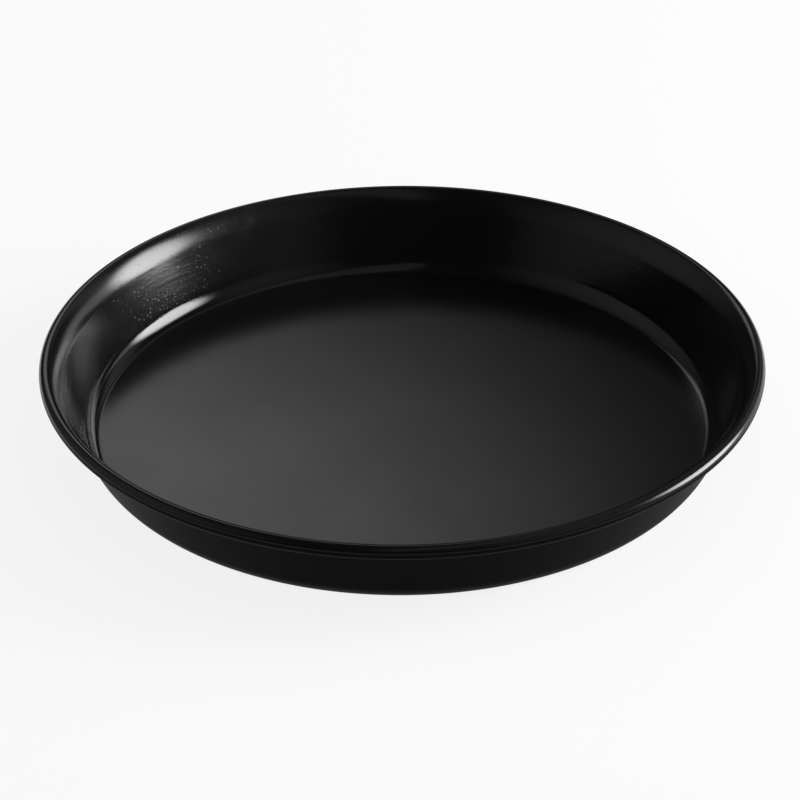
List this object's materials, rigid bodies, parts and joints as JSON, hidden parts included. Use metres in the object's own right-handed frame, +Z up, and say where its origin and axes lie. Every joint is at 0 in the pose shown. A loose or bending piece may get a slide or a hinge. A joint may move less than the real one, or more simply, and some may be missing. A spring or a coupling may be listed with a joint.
{
  "type": "pizza pan",
  "caption": "Round shallow baking pan with a flat floor, a flared wall and a curled rim wired for stiffness, in a black baked coating.",
  "frame": {"origin": "Centre of the underside, on the surface that the pan stands on.", "axes": "+Z points up, out of the open side, along the pan's round axis. +X and +Y lie in the floor; the pan is round, so they are free, and the cut in the hidden wire lies in the -Y +X quarter."},
  "size_m": [0.32, 0.32, 0.038],
  "materials": {
    "black_coating": "satin to semi-gloss black baked coating with a fine orange-peel texture",
    "bare_wire": "plain drawn steel wire, hidden inside the curl"
  },
  "bodies": {
    "root": {"pan_shell": "black_coating", "rim_wire": "bare_wire"}
  },
  "joints": []
}
